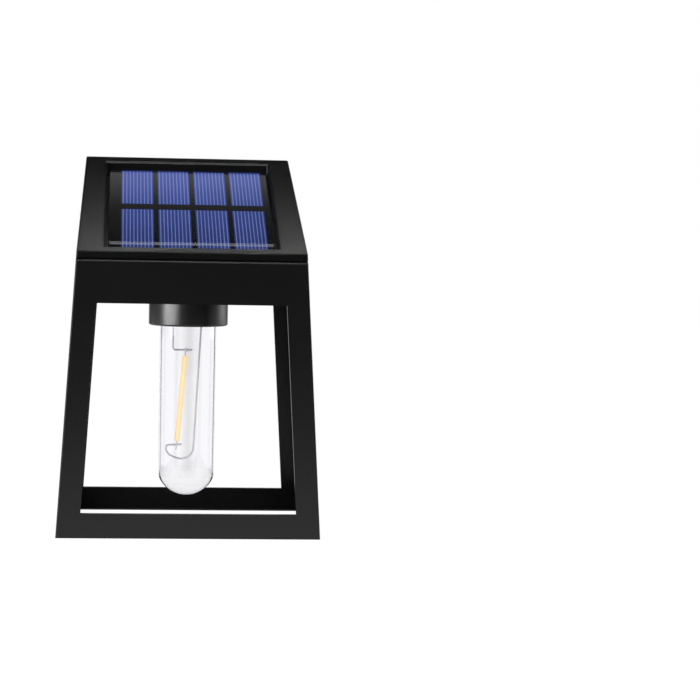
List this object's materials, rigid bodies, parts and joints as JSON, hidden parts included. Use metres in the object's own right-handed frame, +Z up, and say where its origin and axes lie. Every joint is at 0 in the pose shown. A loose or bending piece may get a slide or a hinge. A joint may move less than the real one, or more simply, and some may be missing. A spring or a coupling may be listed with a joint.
{
  "type": "solar fence light",
  "caption": "Solar lantern with an open tapered four-post frame, sloped panel lid and a clear filament tube under a round collar; hangs flat on a fence by a rear keyhole.",
  "frame": {"origin": "middle of the foot, on the surface the lantern stands on", "axes": "+Z up along the lantern's height, +Y out of the rear face towards the fence or wall, X along the wall"},
  "size_m": [0.11, 0.095, 0.1591],
  "materials": {
    "black_abs": "satin black ABS",
    "gloss_black": "polished black",
    "seal_rubber": "soft black rubber",
    "solar_cell": "blue cells with fine fingers",
    "clear_cover": "clear cast cover",
    "panel_black": "black panel backing",
    "foam_tape": "foam tape",
    "wire_cover": "insulated wire",
    "screw_steel": "zinc-plated",
    "clear_tube": "clear",
    "stem_plastic": "off-white plug",
    "lead_metal": "bare nickel-plated wire",
    "filament_glow": "warm phosphor coat",
    "board_green": "solder mask",
    "chip_black": "moulded case",
    "coil_dark": "wound drum",
    "capacitor_blue": "sleeved can",
    "switch_metal": "pressed case",
    "knob_black": "moulded slider",
    "cell_sleeve": "plain sleeve",
    "contact_nickel": "nickel plate"
  },
  "bodies": {
    "lantern": {"body_frame": "black_abs", "lid": "black_abs", "lid_gasket": "seal_rubber", "solar_cells": "solar_cell", "panel_cover": "clear_cover", "panel_board": "panel_black", "panel_tape": "foam_tape", "panel_wires": "wire_cover", "tray": "black_abs", "tray_gasket": "seal_rubber", "case_screws": "screw_steel", "collar": "gloss_black", "collar_seal": "seal_rubber", "collar_screws": "screw_steel", "lamp_tube": "clear_tube", "lamp_stem": "stem_plastic", "left_lead": "lead_metal", "right_lead": "lead_metal", "filament": "filament_glow", "filament_tabs": "lead_metal", "lamp_wires": "wire_cover", "circuit_board": "board_green", "board_screws": "screw_steel", "driver_chip": "chip_black", "inductor": "coil_dark", "capacitor": "capacitor_blue", "switch_housing": "switch_metal", "battery_holder": "black_abs", "holder_pad": "foam_tape", "battery": "cell_sleeve", "battery_spring": "contact_nickel", "battery_contact": "contact_nickel", "battery_wires": "wire_cover"},
    "switch_slider": {"switch_knob": "knob_black"}
  },
  "joints": [
    {"name": "switch_slide", "type": "slide", "parent": "lantern", "child": "switch_slider", "axis": [1, 0, 0], "range_m": [0, 0.003]}
  ]
}
